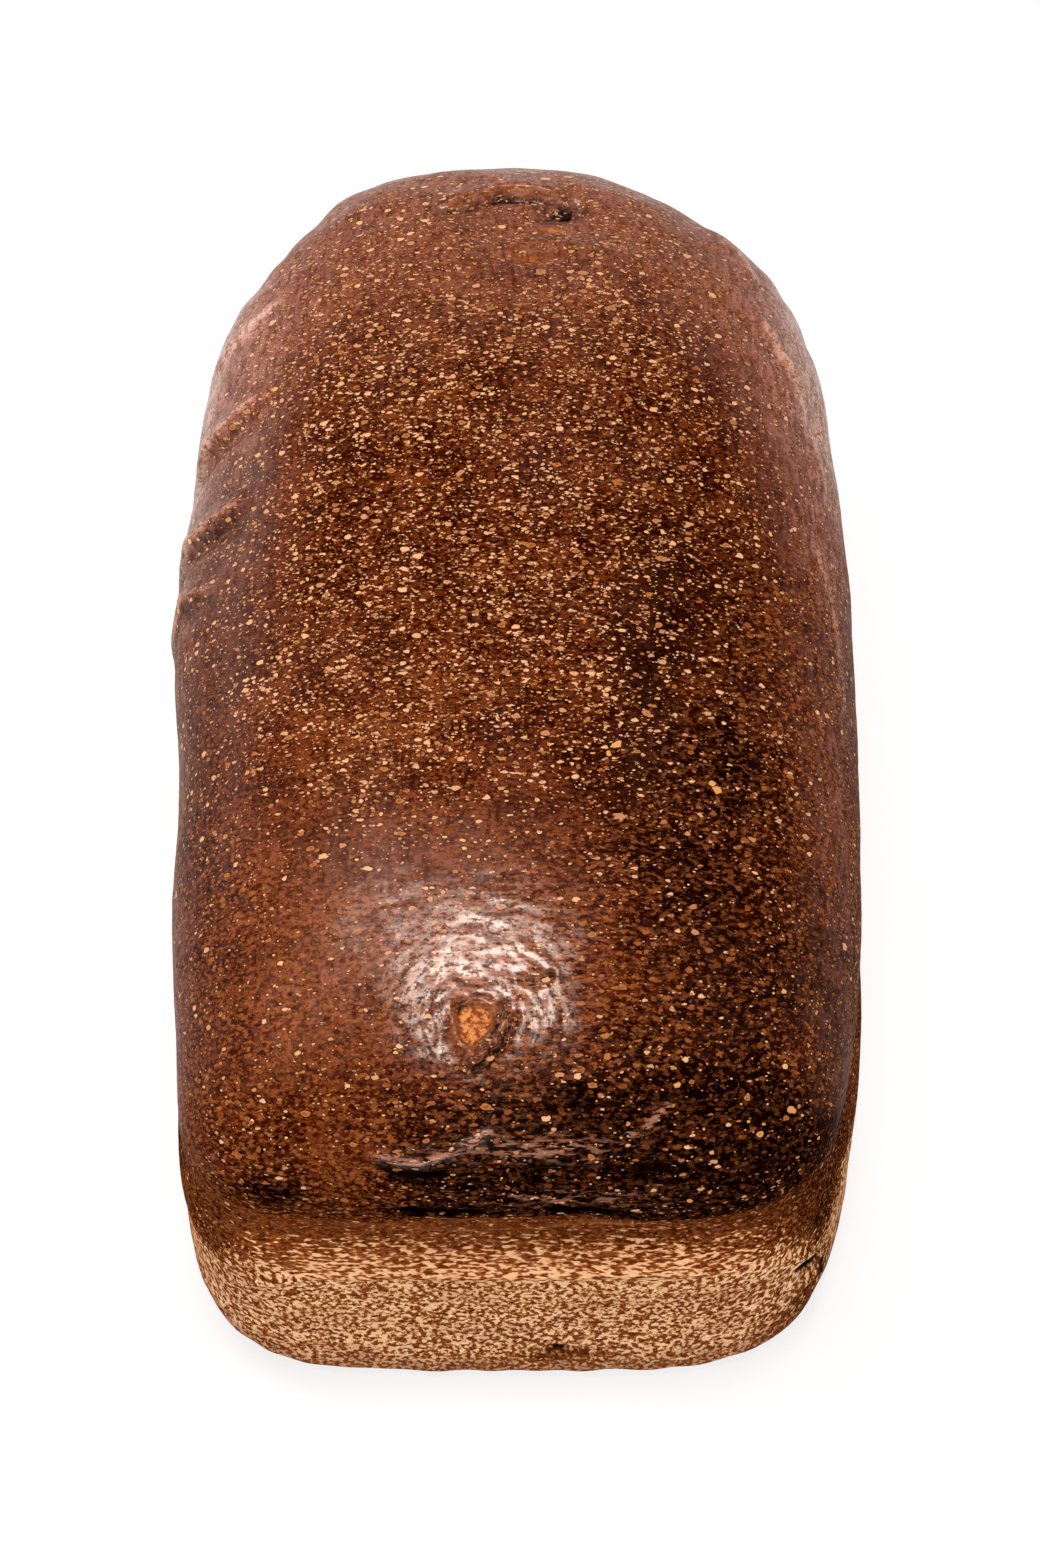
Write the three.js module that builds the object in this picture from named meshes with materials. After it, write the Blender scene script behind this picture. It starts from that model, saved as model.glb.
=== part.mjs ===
// A dark rye tin loaf, standing on its base as it came out of the tin.
// Millimetres, +Z up: X runs across the loaf and Y along it, with the squarer end, the near one, at -Y.
// The skin is one closed surface, a box of square cells wrapped round the loaf. The box's top face becomes the
// dome, its sides the shoulder, the wall and the heel, and its bottom face the flat base.
import * as THREE from "three";
import { mergeVertices } from "three/addons/utils/BufferGeometryUtils.js";

// ---- Driving dimensions ----
const WIDTH = 115; // of the wall that stood against the tin
const LENGTH = 203.6;
const HEIGHT = 85; // from the base to the crown
const DOME_FOOT = 56; // height at which the dome is widest; below it the crust tucks in
const TUCK_HEIGHT = 51.5; // the bottom of the tuck, at the tin's edge
const WALL_TOP = 40; // from here down the wall is upright
const HEEL_RADIUS = 3; // rounding between the wall and the base
const TUCK_DEPTH = 0.5; // how far the tuck lies inside the dome's foot

// How far the dome's foot stands back from the wall: at the flanks, at the -Y end, where it fades towards the
// corners that filled the tin, and at the +Y end.
const FLANK_SET_BACK = 1.1;
const NEAR_SET_BACK = 4.2;
const FAR_SET_BACK = 1.1;

// ---- Plan shape: exponents of the rounded rectangle, from 2 (ellipse) upwards (squarer) ----
const CROWN_ROUNDNESS = 2.2;
const NEAR_DOME_SQUARENESS = 4.5;
const FAR_DOME_SQUARENESS = 2.85;
const WALL_SQUARENESS = 5;

// ---- Dome section: share of width ^ DOME_FLATNESS + share of rise ^ DOME_SHOULDER = 1 ----
const DOME_FLATNESS = 4.6;
const DOME_SHOULDER = 2.4;
const CROWN_ARCH = 8; // how much lower the dome's top would end at its flanks than along its middle
const SHOULDER_START = 0.86; // share of the half width at which the dome face hands over to the shoulder

// ---- Cells of the skin ----
const CELLS_ACROSS = 24;
const CELLS_ALONG = 40;
const SHOULDER_CELLS = 6;
const WALL_CELLS = 11;
const WALL_CROWDING = 1.5; // above 1 the wall's cells are closest together at the tuck
const HEEL_CELLS = 3;
const SIDE_CELLS = SHOULDER_CELLS + WALL_CELLS + HEEL_CELLS;

// ---- Swells and dents: the skin moves `out` mm along its own slope, fading over `reach` mm from `at` ----
const SWELLS = [
  // The flanks, where the dough was drawn in or slumped out.
  { at: [-57, -60, 56], reach: [14, 22, 24], out: -2 },
  { at: [-57, -27, 56], reach: [16, 18, 26], out: -2 },
  { at: [-56, 6, 58], reach: [14, 14, 20], out: 1 },
  { at: [-58, -52, 22], reach: [14, 44, 26], out: -1.3 },
  { at: [56, -70, 58], reach: [14, 20, 20], out: -1.2 },
  { at: [57, -38, 50], reach: [14, 16, 26], out: -0.9 },
  { at: [57, 14, 54], reach: [14, 40, 26], out: 0.7 },
  { at: [56, 66, 58], reach: [16, 22, 24], out: 1.6 },
  // The far shoulders, flatter than the near ones, and a low bump on the left.
  { at: [31, 91, 68], reach: [13, 11, 20], out: -1.5 },
  { at: [-40, 82, 66], reach: [13, 12, 20], out: -1.1 },
  { at: [-52, 62, 60], reach: [12, 14, 20], out: 0.8 },
  { at: [-26, 88, 75], reach: [7, 8, 10], out: 0.6 },
  // Soft folds in both shoulders.
  { at: [-52, 30, 70], reach: [8, 6, 12], out: -0.8 },
  { at: [-52, 10, 70], reach: [8, 5, 12], out: -0.7 },
  { at: [50, 40, 72], reach: [8, 6, 12], out: -0.8 },
  { at: [48, 64, 70], reach: [8, 5, 12], out: -0.8 },
  // The tear near the far end, and the fold of crust above it.
  { at: [6, 77, 82], reach: [13, 5, 8], out: -2 },
  { at: [-2, 88, 77], reach: [20, 7, 10], out: 1.5 },
  // The burst blister and the crease of crust on the near slope.
  { at: [-7, -76, 82], reach: [6, 6, 8], out: -1.4 },
  { at: [-12, -94, 71], reach: [12, 4, 4], out: 0.7 },
  // The near end: the crust folds under itself along the tin's edge, and the corners filled the tin.
  { at: [2, -99, 51], reach: [26, 7, 3.5], out: -1.6 },
  { at: [-50, -97, 28], reach: [18, 18, 36], out: 2 },
  { at: [-50, -91, 56], reach: [16, 13, 18], out: 1.9 },
  { at: [50, -96, 36], reach: [12, 12, 18], out: -0.6 },
  { at: [52, -88, 40], reach: [8, 8, 5], out: -1.6 },
  { at: [50, -92, 30], reach: [9, 9, 6], out: 0.7 },
];
const UNEVENNESS = 0.35; // of hand-shaped dough, everywhere but on the base

const CRUST_COLOUR = 0x6a3a1e;

const { lerp, smoothstep } = THREE.MathUtils;

// One level of the loaf: a ring in the shape of the plan, scaled by `share`, at height z. `setBack` runs from 0,
// on the wall, to 1, at the dome's foot, and `near` and `far` are the plan's exponents at the two ends.
function domeLevel(share, riseShare) {
  const near = lerp(CROWN_ROUNDNESS, NEAR_DOME_SQUARENESS, share ** 3);
  const far = lerp(CROWN_ROUNDNESS, FAR_DOME_SQUARENESS, share);
  const z = DOME_FOOT + (HEIGHT - DOME_FOOT) * riseShare;
  return { share, setBack: 1, tuck: 0, z, arch: CROWN_ARCH * riseShare, near, far };
}

// The dome face, from the crown (0) to the start of the shoulder (1).
function crownLevel(t) {
  const share = SHOULDER_START * t;
  return domeLevel(share, (1 - share ** DOME_FLATNESS) ** (1 / DOME_SHOULDER));
}

// The shoulder, from the end of the dome face (0) to the dome's foot (1), in even turns of the section.
function shoulderLevel(t) {
  const start = Math.asin(SHOULDER_START ** (DOME_FLATNESS / 2));
  const turn = lerp(start, Math.PI / 2, t);
  const riseShare = Math.max(0, Math.cos(turn)) ** (2 / DOME_SHOULDER);
  return domeLevel(Math.sin(turn) ** (2 / DOME_FLATNESS), riseShare);
}

// From the dome's foot (0) through the tuck and over the wall's upper edge, down the wall to the heel (1).
function wallLevel(t) {
  const z = lerp(DOME_FOOT, HEEL_RADIUS, t ** WALL_CROWDING);
  const setBack = smoothstep(z, WALL_TOP, TUCK_HEIGHT);
  const fromTuck = (z - TUCK_HEIGHT) / (DOME_FOOT - TUCK_HEIGHT);
  const tuck = TUCK_DEPTH * Math.max(0, 1 - fromTuck * fromTuck);
  const near = lerp(WALL_SQUARENESS, NEAR_DOME_SQUARENESS, setBack);
  const far = lerp(WALL_SQUARENESS, FAR_DOME_SQUARENESS, Math.sqrt(z / DOME_FOOT));
  return { share: 1, setBack, tuck, z, arch: 0, near, far };
}

// The quarter round between the wall (0) and the base (1).
function heelLevel(t) {
  const turn = (t * Math.PI) / 2;
  const tuck = HEEL_RADIUS * (1 - Math.cos(turn));
  return { ...wallLevel(1), tuck, z: HEEL_RADIUS * (1 - Math.sin(turn)) };
}

// The flat base, from its middle (0) to the heel (1).
function baseLevel(t) {
  return { ...heelLevel(1), share: t };
}

function sideLevel(cell) {
  if (cell <= SHOULDER_CELLS) return shoulderLevel(cell / SHOULDER_CELLS);
  if (cell <= SHOULDER_CELLS + WALL_CELLS) return wallLevel((cell - SHOULDER_CELLS) / WALL_CELLS);
  return heelLevel((cell - SHOULDER_CELLS - WALL_CELLS) / HEEL_CELLS);
}

// The place on the loaf of a point of the unit box, whose corners are at +-1.
function onLoaf(box) {
  const ring = Math.max(Math.abs(box.x), Math.abs(box.y));
  const onTop = box.z > 1 - 1e-6;
  const onBottom = box.z < -1 + 1e-6;
  const cell = ((1 - box.z) / 2) * SIDE_CELLS;
  const level = onTop ? crownLevel(ring) : onBottom ? baseLevel(ring) : sideLevel(cell);
  if (ring === 0) return new THREE.Vector3(0, 0, level.z);
  const across = box.x / ring;
  const along = box.y / ring;
  const power = along < 0 ? level.near : level.far;
  const endSetBack = along < 0 ? NEAR_SET_BACK * (1 - across ** 4) : FAR_SET_BACK;
  const reach = level.share * (Math.abs(across) ** power + Math.abs(along) ** power) ** (-1 / power);
  const halfWidth = WIDTH / 2 - FLANK_SET_BACK * level.setBack - level.tuck;
  const halfLength = LENGTH / 2 - endSetBack * level.setBack - level.tuck;
  const drop = level.arch * (reach * across) ** 2;
  return new THREE.Vector3(halfWidth * reach * across, halfLength * reach * along, level.z - drop);
}

// A box of cells with its doubled edge vertices merged, so that it is one closed surface.
function closedBox() {
  const box = new THREE.BoxGeometry(2, 2, 2, CELLS_ACROSS, CELLS_ALONG, SIDE_CELLS);
  box.deleteAttribute("normal");
  box.deleteAttribute("uv");
  return mergeVertices(box);
}

// How far the skin lies outside the plain form at a point.
function swellAt(point) {
  let out = 0;
  for (const swell of SWELLS) {
    const away = point.toArray().map((value, axis) => (value - swell.at[axis]) / swell.reach[axis]);
    out += swell.out * Math.exp(-away.reduce((sum, value) => sum + value * value, 0));
  }
  const onTop = Math.sin(point.x / 17 + 1.1) * Math.sin(point.y / 23 + 0.6);
  const onSides = Math.sin(point.z / 11 - point.y / 41);
  return out + UNEVENNESS * (onTop + onSides);
}

// The skin is first wrapped round the plain form, then moved along its own slopes. The base stays flat: its
// points don't move, and those of the heel above it move only level.
function loafGeometry() {
  const skin = closedBox();
  const places = skin.getAttribute("position");
  const point = new THREE.Vector3();
  const slope = new THREE.Vector3();
  for (let i = 0; i < places.count; i++) {
    point.fromBufferAttribute(places, i).copy(onLoaf(point));
    places.setXYZ(i, point.x, point.y, point.z);
  }
  skin.computeVertexNormals();
  const slopes = skin.getAttribute("normal");
  for (let i = 0; i < places.count; i++) {
    point.fromBufferAttribute(places, i);
    if (point.z <= 0) continue;
    slope.fromBufferAttribute(slopes, i);
    if (point.z < HEEL_RADIUS) slope.z = 0;
    point.addScaledVector(slope, swellAt(point));
    places.setXYZ(i, point.x, point.y, point.z);
  }
  skin.deleteAttribute("normal");
  skin.computeBoundingBox();
  const middle = skin.boundingBox.getCenter(new THREE.Vector3());
  return skin.translate(-middle.x, -middle.y, 0);
}

const crust = new THREE.MeshStandardMaterial({ color: CRUST_COLOUR, roughness: 0.45, metalness: 0 });
const loaf = new THREE.Mesh(loafGeometry(), crust);
loaf.name = "loaf";

const tinLoaf = new THREE.Group();
tinLoaf.add(loaf);
export default tinLoaf;
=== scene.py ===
import math

import bmesh
import bpy
import numpy as np
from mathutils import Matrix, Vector, noise


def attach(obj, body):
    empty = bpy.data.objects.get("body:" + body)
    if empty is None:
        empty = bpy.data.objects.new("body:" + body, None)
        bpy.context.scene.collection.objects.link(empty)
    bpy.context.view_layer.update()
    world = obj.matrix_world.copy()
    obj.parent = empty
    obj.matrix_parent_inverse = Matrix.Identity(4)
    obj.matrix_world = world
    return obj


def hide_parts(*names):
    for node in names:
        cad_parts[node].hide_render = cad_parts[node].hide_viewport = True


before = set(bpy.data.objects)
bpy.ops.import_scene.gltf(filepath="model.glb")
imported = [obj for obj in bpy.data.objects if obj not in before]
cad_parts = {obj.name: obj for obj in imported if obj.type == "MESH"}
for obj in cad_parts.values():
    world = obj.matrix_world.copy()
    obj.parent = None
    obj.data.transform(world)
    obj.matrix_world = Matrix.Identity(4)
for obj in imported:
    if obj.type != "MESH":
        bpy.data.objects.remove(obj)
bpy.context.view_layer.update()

MM = 0.001

# ---- Camera ----
# A long lens on a stand 0.6 m away looks down on the loaf from beyond its squarer end, 60 degrees above the level, so
# that the near wall shows below the whole of the dome.

CAMERA_ELEVATION = math.radians(60.2)
CAMERA_DISTANCE = 590 * MM
CAMERA_AIM = Vector((0.8, -12.2, 42.5)) * MM
CAMERA_HEIGHT_OF_VIEW = math.radians(25)
CAMERA_CLIP_START = 10 * MM

camera = bpy.data.objects.new("camera", bpy.data.cameras.new("camera"))
bpy.context.scene.collection.objects.link(camera)
camera.data.sensor_fit = "VERTICAL"
camera.data.angle = CAMERA_HEIGHT_OF_VIEW
camera.data.clip_start = CAMERA_CLIP_START
camera.rotation_euler = (math.pi / 2 - CAMERA_ELEVATION, 0, 0)
away = Vector((0, -math.cos(CAMERA_ELEVATION), math.sin(CAMERA_ELEVATION)))
camera.location = CAMERA_AIM + away * CAMERA_DISTANCE
bpy.context.scene.camera = camera

# ---- Loaf: the skin ----
# Rye dough that rose out of a tin and baked to a thin, hard, dark crust over a close crumb.
# The CAD skin is made finer, and finest where the crust wrinkled, tore or blistered.

MERGE_DISTANCE = 0.01 * MM
PAIR_BEND = math.radians(60)  # most that two triangles may bend, and their corners be off square, to be one cell
PAIR_SKEW = math.radians(80)
SKIN_LEVELS = 2
FINE_SMOOTHING = 0.6
FINE_PLACES = (  # middle and half sizes, mm, of the boxes whose cells are cut in half again
    ((0, -78, 62), (50, 27, 34)),
    ((1, 78, 78), (26, 14, 10)),
    ((47, -90, 20), (8, 10, 9)),
    ((8, -101, 11), (9, 5, 7)),
    ((-49, 26, 68), (10, 30, 12)),
)
BASE_MIDDLE = (44, 88)  # half sizes, mm, of the flat part of the base that stays one face


def cad_skin():
    """The CAD skin with its doubled vertices merged and its triangles paired, smoothed by subdivision."""
    shape = bmesh.new()
    shape.from_mesh(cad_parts["loaf"].data)
    bmesh.ops.remove_doubles(shape, verts=shape.verts, dist=MERGE_DISTANCE)
    bmesh.ops.join_triangles(
        shape, faces=shape.faces, angle_face_threshold=PAIR_BEND, angle_shape_threshold=PAIR_SKEW
    )
    mesh = bpy.data.meshes.new("crust")
    shape.to_mesh(mesh)
    shape.free()
    rough = bpy.data.objects.new("crust", mesh)
    bpy.context.scene.collection.objects.link(rough)
    smoother = rough.modifiers.new("smoother", "SUBSURF")
    smoother.levels = smoother.render_levels = SKIN_LEVELS
    ready = rough.evaluated_get(bpy.context.evaluated_depsgraph_get())
    rough.data = bpy.data.meshes.new_from_object(ready)
    rough.modifiers.clear()
    return rough


def refine(mesh):
    """Cuts the cells of the fine places in half, and makes the middle of the base one face."""
    shape = bmesh.new()
    shape.from_mesh(mesh)
    for middle, half in FINE_PLACES:
        low = (Vector(middle) - Vector(half)) * MM
        high = (Vector(middle) + Vector(half)) * MM
        inside = {v for v in shape.verts if all(low[i] < v.co[i] < high[i] for i in range(3))}
        edges = [e for e in shape.edges if e.verts[0] in inside and e.verts[1] in inside]
        bmesh.ops.subdivide_edges(shape, edges=edges, cuts=1, use_grid_fill=True, smooth=FINE_SMOOTHING)

    def in_base_middle(place):
        return place.z < MERGE_DISTANCE and abs(place.x) < BASE_MIDDLE[0] * MM and abs(place.y) < BASE_MIDDLE[1] * MM

    flat = [f for f in shape.faces if all(in_base_middle(v.co) for v in f.verts)]
    bmesh.ops.dissolve_faces(shape, faces=flat)
    shape.normal_update()
    shape.to_mesh(mesh)
    shape.free()


crust = cad_skin()
refine(crust.data)

# ---- Loaf: folds, creases, blister and tear ----
# The crust set while the dough still rose, so it wrinkled and creased at the near end, folded in the shoulders,
# tore near the far end and burst one blister. Heights are in millimetres along the slope of the skin.

places = np.empty(len(crust.data.vertices) * 3, np.float32)
slopes = np.empty(len(crust.data.vertices) * 3, np.float32)
crust.data.vertices.foreach_get("co", places)
crust.data.vertices.foreach_get("normal", slopes)
places = places.reshape(-1, 3) / MM  # in millimetres from here on
slopes = slopes.reshape(-1, 3)
x, y, z = places.T


def smoothstep(value, low, high):
    """0 up to low, 1 from high on, and a soft curve between."""
    share = np.clip((value - low) / (high - low), 0, 1)
    return share * share * (3 - 2 * share)


def near_to(middle, reach):
    """1 at middle, fading round it over reach, one number or one for each axis."""
    away = (places - np.array(middle)) / np.array(reach)
    return np.exp(-(away * away).sum(1))


def patches(table):
    """The sum of soft patches, each given as its strength, its middle and its reach."""
    return sum(strength * near_to(middle, reach) for strength, middle, reach in table)


def measure(route):
    """How far each place is from a route of straight runs, the share of the route that lies behind its nearest
    point, and how far the place lies to the left of it, looking down."""
    route = np.array(route, float)
    runs = np.diff(route, axis=0)
    lengths = np.linalg.norm(runs, axis=1)
    before = np.concatenate([[0], np.cumsum(lengths)])
    nearest = np.full(len(places), np.inf)
    share = np.zeros(len(places))
    left = np.zeros(len(places))
    for start, run, length, gone in zip(route, runs, lengths, before):
        from_start = places - start
        t = np.clip((from_start @ run) / length**2, 0, 1)
        distance = np.linalg.norm(from_start - t[:, None] * run, axis=1)
        closer = distance < nearest
        nearest = np.where(closer, distance, nearest)
        share = np.where(closer, (gone + t * length) / before[-1], share)
        across = (run[0] * from_start[:, 1] - run[1] * from_start[:, 0]) / np.hypot(run[0], run[1])
        left = np.where(closer, across, left)
    return nearest, share, left


def along(route, width, taper=0.25):
    """1 on a route, fading to the side over width and towards both ends over a share of its length."""
    nearest, share, _ = measure(route)
    return np.exp(-((nearest / width) ** 2)) * smoothstep(np.minimum(share, 1 - share), 0, taper)


def on_skin(route):
    """The route with each of its points moved to the nearest place on the skin."""
    return [places[((places - point) ** 2).sum(1).argmin()] for point in np.array(route)]


def ripples(stretch, seed, at=None):
    """Even noise from -1 to 1 whose lumps are about stretch mm long on each axis."""
    scaled = (places if at is None else at) / np.array(stretch) + seed
    return np.array([noise.noise(Vector(p)) for p in scaled])


# The unevenness of hand-shaped dough, finer and fainter from row to row, and the lumps of the far end.
out = np.zeros(len(places))
for height, lumps, seed, low, high in (  # it sets in between the heights low and high above the base
    (0.45, (26, 30, 20), 3.1, 4, 20),
    (0.16, (9, 9, 7), 8.4, 2, 10),
    (0.06, (3.4, 2.0, 1.8), 1.7, 0, 5),
):
    out += height * ripples(lumps, seed) * smoothstep(z, low, high)
out += 0.55 * ripples((12, 4.5, 6), 6.6) * smoothstep(y, 40, 75) * smoothstep(z, 55, 65)

# Soft folds up the left shoulder and the right one, each a ridge with a hollow below it.
LEFT_HOLLOW = (0, -3.4, -1.5)  # from a ridge to its hollow
RIGHT_HOLLOW = (0, -2.8, -1.5)
HOLLOW_DEPTH = 0.8  # share of the ridge's height
SHOULDER_FOLDS = (  # route, width and height of each ridge
    (((-53.5, 33, 61), (-51.2, 38.0, 68.2), (-47.1, 40.0, 72.7), (-38.5, 43.3, 78)), 2.0, 1.3),
    (((-55, 12, 60), (-54.2, 19.4, 65.8), (-50.5, 20.0, 70.9), (-42, 22, 77)), 2.3, 1.4),
    (((-56, -2, 58), (-54.5, 8.6, 65.7), (-48, 6, 73)), 2.4, 1.1),
    (((-53, 54, 62), (-46, 60, 70), (-36, 64, 75)), 2.4, 0.9),
    (((34, 79, 70), (39, 76.8, 70.3), (42.1, 68.3, 71.4)), 2.2, 0.8),
    (((39.2, 63.6, 74.7), (44.1, 55.1, 73.4), (49.1, 47.3, 69.7), (53.5, 40, 63)), 1.8, 1.2),
    (((46.6, 50.8, 72.1), (50.6, 39, 68.3), (52.8, 23.3, 67.5)), 1.8, 1.1),
    (((50, 20, 74), (53.5, 0, 70), (54.5, -20, 68)), 2.4, 0.5),
)
for route, width, height in SHOULDER_FOLDS:
    hollow = np.array(route) + (LEFT_HOLLOW if route[0][0] < 0 else RIGHT_HOLLOW)
    out += height * along(on_skin(route), width) - HOLLOW_DEPTH * height * along(on_skin(hollow), width)
out -= 1.2 * near_to((51.5, 45.2, 66.8), (2.5, 4.5, 3))

# The tear near the far end: a lip of crust over a hollow that is deepest at its right end, and dents before it.
FAR_LIP = on_skin((
    (-15, 79.2, 79.7), (-10.4, 80.2, 79.6), (-6.1, 82.0, 79.4), (-2.6, 83.6, 79.2), (0, 84.2, 79.1), (2.5, 84.1, 79),
    (5.1, 83.4, 78.8), (7.7, 82.3, 78.6), (10.6, 80.2, 78.6),
))
FAR_SHADOW = (
    (-15, 78.6, 79.9), (-10.4, 79.5, 79.8), (-6.1, 81.2, 79.6), (-2.6, 82.7, 79.3), (2.5, 83.1, 79), (6.5, 82.0, 78.7),
)
nearest, share, left = measure(FAR_LIP)
ends = smoothstep(np.minimum(share, 1 - share), 0, 0.22)
under = smoothstep(-left, -0.3, 0.9) * np.exp(-((nearest / 4.6) ** 2))
out += ends * (1.5 * np.exp(-((nearest / 2.6) ** 2)) * smoothstep(left, -0.7, 0.2) - 1.1 * under)
out -= 0.8 * along(FAR_SHADOW, 0.9, 0.2)
out += patches((
    (-2.8, (8.4, 80.6, 79), (3.2, 2.2, 3)), (-0.9, (4.6, 78.2, 79), (3.4, 1.6, 3)),
    (-1.0, (3.4, 66.8, 83), (4.4, 1.6, 3)), (0.7, (3, 69.4, 83), (8, 1.5, 3)),
    (-0.5, (0, 49.7, 85), (7, 3, 3)), (-0.45, (-12.5, 46.9, 85), (6, 3, 3)),
))

# The burst blister: a three-cornered floor of crumb in a collar of torn skin, with a slit at its upper left and a
# doubled rim on its right, and a small curled split beside it.
BLISTER = (-6.0, -75.8, 80)
BLISTER_RIM = (
    (-6.6, -79.3, 78.8), (-4.1, -77.0, 79.5), (-3.4, -73.9, 80.6), (-5.3, -72.8, 80.6), (-7.4, -73.1, 80.3),
    (-8.6, -74.3, 80), (-8.5, -77.2, 79), (-6.6, -79.3, 78.8),
)
BLISTER_SLIT = ((-9.0, -74.6, 79.8), (-8.3, -73.4, 80.1), (-6.8, -72.2, 80.6))
RIM_GROOVES = (
    ((-1.9, -72.4, 81), (-2.6, -75.8, 80), (-3.9, -78.2, 79.3), (-6.2, -80.4, 78.5)),
    ((0.1, -73.8, 81), (-0.5, -76, 80), (-1.9, -79.2, 79), (-4.8, -81.8, 78.2), (-8.2, -83.6, 77.6)),
)
SPLIT = ((0.2, -69.1, 82), (2.2, -69.9, 82), (4.0, -70.1, 82), (5.3, -69.2, 82.1), (5.7, -67.8, 82.2))
inward = np.min([measure(side)[2] for side in zip(BLISTER_RIM, BLISTER_RIM[1:])], axis=0)
inward = np.where(near_to(BLISTER, 12) > 0.3, inward + 0.5 * ripples((1.3, 1.3, 1.3), 2.6), -9)
blister_floor = smoothstep(inward, -0.3, 0.5)
collar = (1 - blister_floor) * smoothstep(inward, -2.0, -0.5)
out += 0.6 * collar - 0.75 * blister_floor + 0.14 * blister_floor * ripples((1.2, 1.2, 1.2), 5.2)
out -= 1.5 * along(BLISTER_SLIT, 0.75)
for route, width, height in (
    (RIM_GROOVES[0], 0.55, -0.9),
    (RIM_GROOVES[1], 0.6, -1.0),
    (((-0.9, -73.2, 81), (-1.5, -75.8, 80), (-2.9, -78.6, 79.2), (-5.4, -80.9, 78.5), (-8.4, -82.4, 78)), 0.6, 0.9),
    (SPLIT, 0.45, -0.7),
    (((1.6, -68.6, 82), (3.6, -68.9, 82), (4.4, -68.2, 82.2)), 0.6, 0.35),
):
    out += height * along(route, width, 0.15)

# Fine wrinkles, level across the loaf and in rings round the blister.
RINGS_END = (11, 24)  # distances from the blister between which the rings give way to level wrinkles
from_blister = places - np.array(BLISTER)
ring = np.linalg.norm(from_blister, axis=1)
turn = np.arctan2(from_blister[:, 1], from_blister[:, 0])
ringed = 1 - smoothstep(ring, *RINGS_END)
rings = ripples((1, 1, 1), 7.7, at=np.stack([ring / 1.05, turn * 3.6, np.zeros(len(x))], 1))
level = ripples((4.4, 1.15, 1.05), 2.9)
wrinkled = 0.25 + 0.75 * near_to((0, -72, 82), (26, 22, 20))
for middle, reach in (
    ((5, -93, 72), (10, 5, 3)), ((4, -97, 63), (12, 6, 3)), ((22, -88, 74), (9, 6, 5)),
    ((-12, -93.6, 70.5), (11, 5, 3)),
):
    wrinkled = np.maximum(wrinkled, near_to(middle, reach))
wrinkled *= smoothstep(-y, 30, 56) * smoothstep(z, 52, 60) * (1 - blister_floor)
out += 0.19 * wrinkled * (ringed * rings + (1 - ringed) * level)

# Creases across the near slope.
CREASE = on_skin((
    (-23, -92.2, 71), (-18.6, -93.6, 70.2), (-14.3, -94.0, 70.2), (-9.6, -93.2, 71.3), (-6.3, -91.9, 72.7),
    (-1.5, -89.6, 74.4),
))
RIGHT_CREASE = on_skin(((15.8, -91.4, 72.5), (19.8, -89.8, 73.4), (24.6, -85.2, 75.5)))
BELOW_CREASE = on_skin(((-22, -94.2, 69.4), (-18, -95.4, 68.4), (-13, -95.8, 68), (-8, -95.2, 69)))
for route, width, height in (
    (CREASE, 0.6, 1.0),
    (BELOW_CREASE, 0.9, -0.7),
    (((-3, -92.4, 72.4), (4.7, -92.7, 71.8), (12.2, -92.4, 71.8), (17, -91.2, 72.8)), 0.8, 0.5),
    (((-3, -94.2, 70.4), (4.7, -94.4, 69.8), (13, -93.6, 70)), 0.6, 0.4),
    (RIGHT_CREASE, 0.8, 0.7),
    (((16, -93.6, 70.2), (21, -91.6, 71.4), (26, -87.4, 73.4)), 1.0, -0.7),
    (((-1.5, -92.8, 71.6), (-0.5, -95.3, 68.2), (1.3, -97.2, 63.3)), 0.9, -1.0),
    (((-14, -96.2, 66.0), (-10, -96.4, 66.2), (-6.5, -96.2, 66.0)), 0.9, 0.7),
    (((-25, -95.8, 65.4), (-18.1, -96.8, 63.5), (-16.2, -97.6, 60.4)), 1.0, 0.6),
    (((-5, -97.6, 62.4), (3.4, -97.4, 62.8), (8, -97, 64.4), (14, -96, 66.8)), 0.9, 0.7),
    (((-3, -98, 60.4), (5, -98, 60.8), (14, -97, 63.4)), 0.7, 0.5),
):
    out += height * along(route, width)

# Along the near end the crust folds under itself, deepest in two places, with a thin lip of the wall's skin below.
NEAR_FOLDS = (
    ((-20, -97.4, 59.4), (-16.7, -97.5, 59.1), (-11.4, -97.6, 58.8), (-6.9, -97.7, 58.2), (-2.4, -97.4, 57.2)),
    ((2.4, -97.6, 60.2), (5.6, -97.6, 59.6), (8.3, -97.7, 58.6), (12.9, -97.7, 57.9), (19.6, -97.2, 56.6)),
)
NEAR_LIP = on_skin((
    (-22, -96.9, 53.4), (-11.6, -96.4, 51.4), (-4, -96.3, 51), (4, -96.3, 51.6), (13, -97.4, 54), (24, -97.4, 54.6),
))
fold = sum(along(on_skin(route), 1.25, 0.25) for route in NEAR_FOLDS)
out -= 1.5 * fold * (0.6 + 0.8 * np.abs(ripples((4, 4, 4), 6.1)))
out -= 0.8 * along(((-22, -97, 56.4), (-8, -97, 54.8), (6, -97, 55), (22, -97.4, 56.6)), 1.6, 0.2)
out += 0.8 * along(NEAR_LIP, 0.7, 0.2)

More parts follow.
